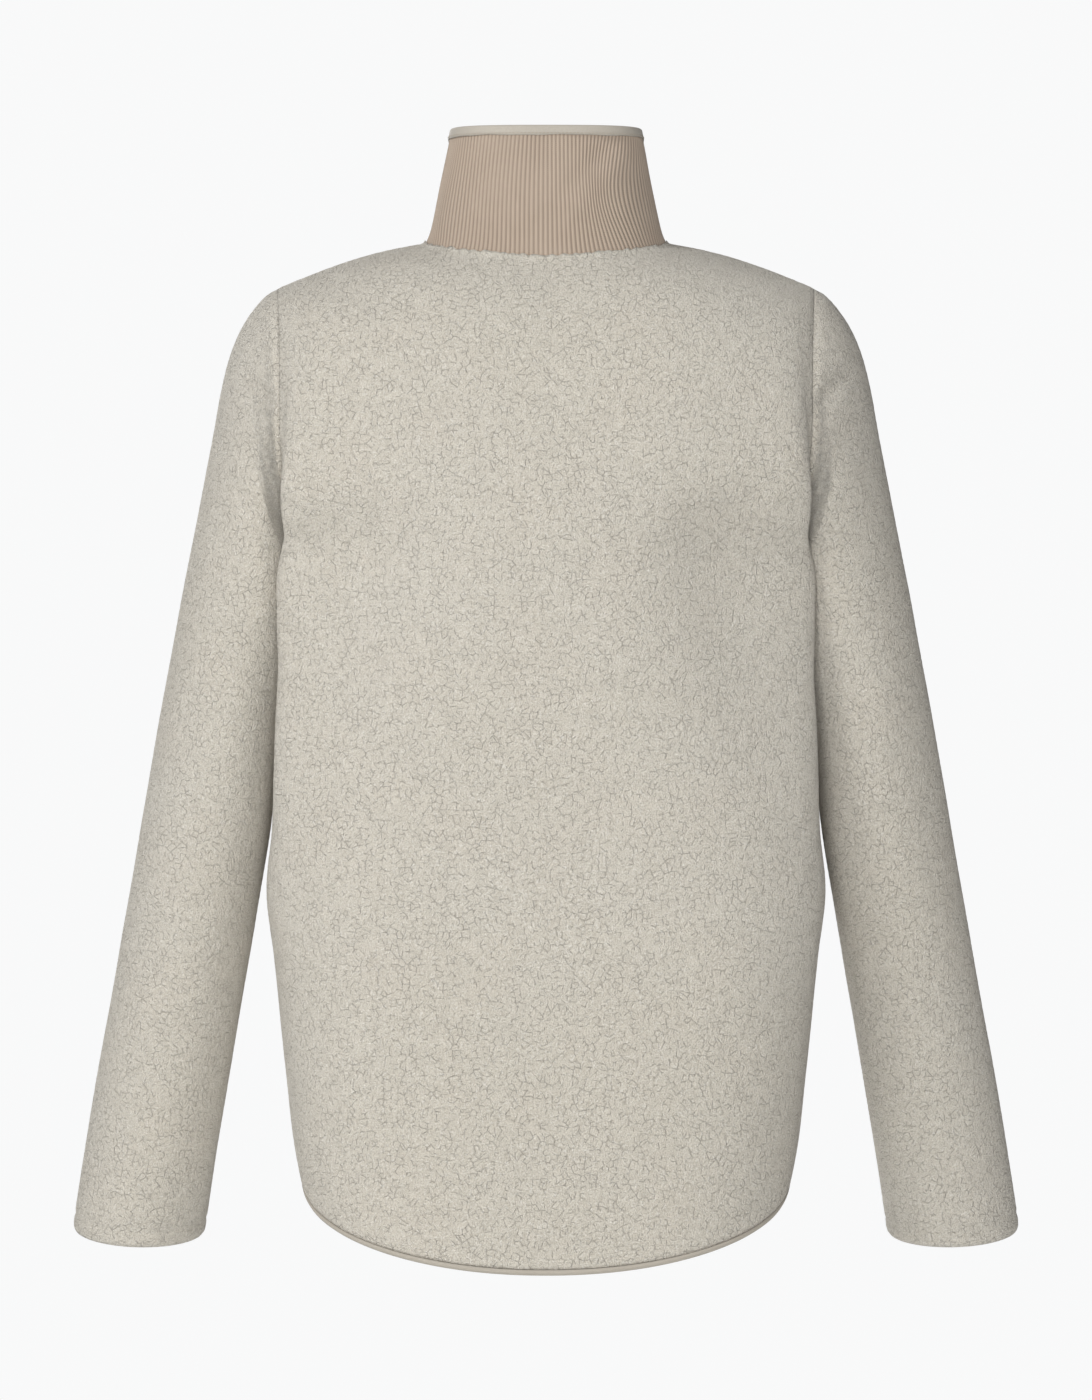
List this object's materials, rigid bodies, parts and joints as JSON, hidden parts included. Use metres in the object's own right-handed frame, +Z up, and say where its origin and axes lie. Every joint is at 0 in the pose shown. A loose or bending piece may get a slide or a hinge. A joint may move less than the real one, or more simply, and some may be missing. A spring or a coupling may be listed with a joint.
{
  "type": "fleece jacket",
  "caption": "Worn-form borg fleece jacket with rib-knit funnel collar, shirt-tail hem, hanging sleeves and a full-length front zip.",
  "frame": {"origin": "on the body's middle line, level with the points where shoulder and neck meet, at mid depth", "axes": "+Z up, the front faces -Y, +X towards the wearer's left"},
  "size_m": [0.678, 0.2475, 0.787],
  "materials": {
    "borg_fleece": "soft curly cream pile",
    "rib_knit": "matte taupe rib knit",
    "binding_tape": "smooth cream woven tape",
    "zip_tape": "flat woven tape",
    "zip_metal": "satin"
  },
  "bodies": {
    "jacket": {"back": "borg_fleece", "front_left": "borg_fleece", "front_right": "borg_fleece", "sleeve_left": "borg_fleece", "sleeve_right": "borg_fleece", "collar": "rib_knit", "collar_binding": "binding_tape", "hem_binding": "binding_tape", "zip_tape_left": "zip_tape", "zip_tape_right": "zip_tape", "zip_chain": "zip_tape", "zip_slider": "zip_metal"},
    "pull_tab": {"zip_pull": "zip_metal"}
  },
  "joints": [
    {"name": "pull_hinge", "type": "hinge", "parent": "jacket", "child": "pull_tab", "pos_m": [0, -0.06306, 0.04338], "axis": [-1, 0, 0], "range_deg": [0, 150]}
  ]
}
